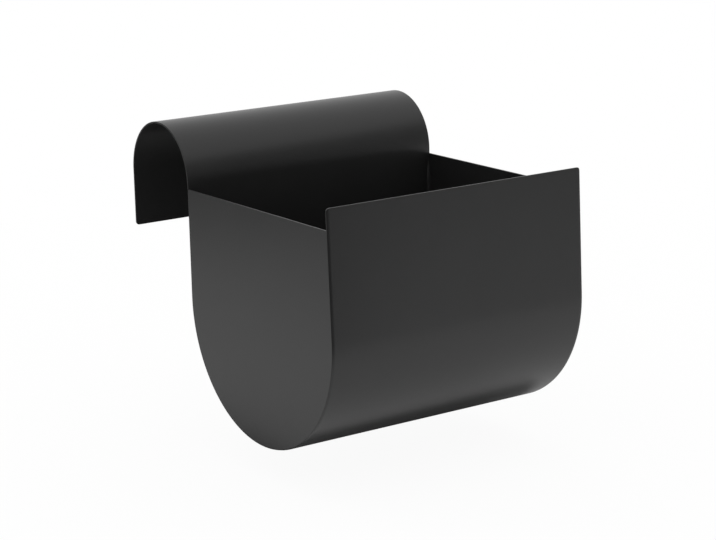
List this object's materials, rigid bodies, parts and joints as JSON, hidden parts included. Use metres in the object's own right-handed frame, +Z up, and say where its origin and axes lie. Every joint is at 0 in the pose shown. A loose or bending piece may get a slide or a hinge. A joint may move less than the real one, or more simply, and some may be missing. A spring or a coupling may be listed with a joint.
{
  "type": "balcony planter",
  "caption": "Steel planter that hangs on a balcony handrail: a rolled saddle and lip hook over the rail, and a round-bottomed trough with flat welded ends and a plugged drain holds the soil.",
  "frame": {"origin": "on the axis of the half-round saddle, at mid-width, where the handrail's centre lies", "axes": "+X along the handrail, to the right as seen from the front; the trough hangs on the -Y side and the lip is on the +Y side; +Z up"},
  "size_m": [0.26, 0.3155, 0.2609],
  "materials": {
    "powder_coated_steel": "satin black powder coat on rolled steel sheet",
    "powder_coated_weld": "the same coat over a hand-laid weld bead",
    "moulded_rubber": "matt moulded black rubber"
  },
  "bodies": {
    "planter": {"body_sheet": "powder_coated_steel", "left_end_panel": "powder_coated_steel", "right_end_panel": "powder_coated_steel", "left_weld_seam": "powder_coated_weld", "right_weld_seam": "powder_coated_weld"},
    "drain_plug": {"drain_plug": "moulded_rubber"}
  },
  "joints": [
    {"name": "plug_pull", "type": "slide", "parent": "planter", "child": "drain_plug", "axis": [0, 0, -1], "range_m": [0, 0.025]}
  ]
}
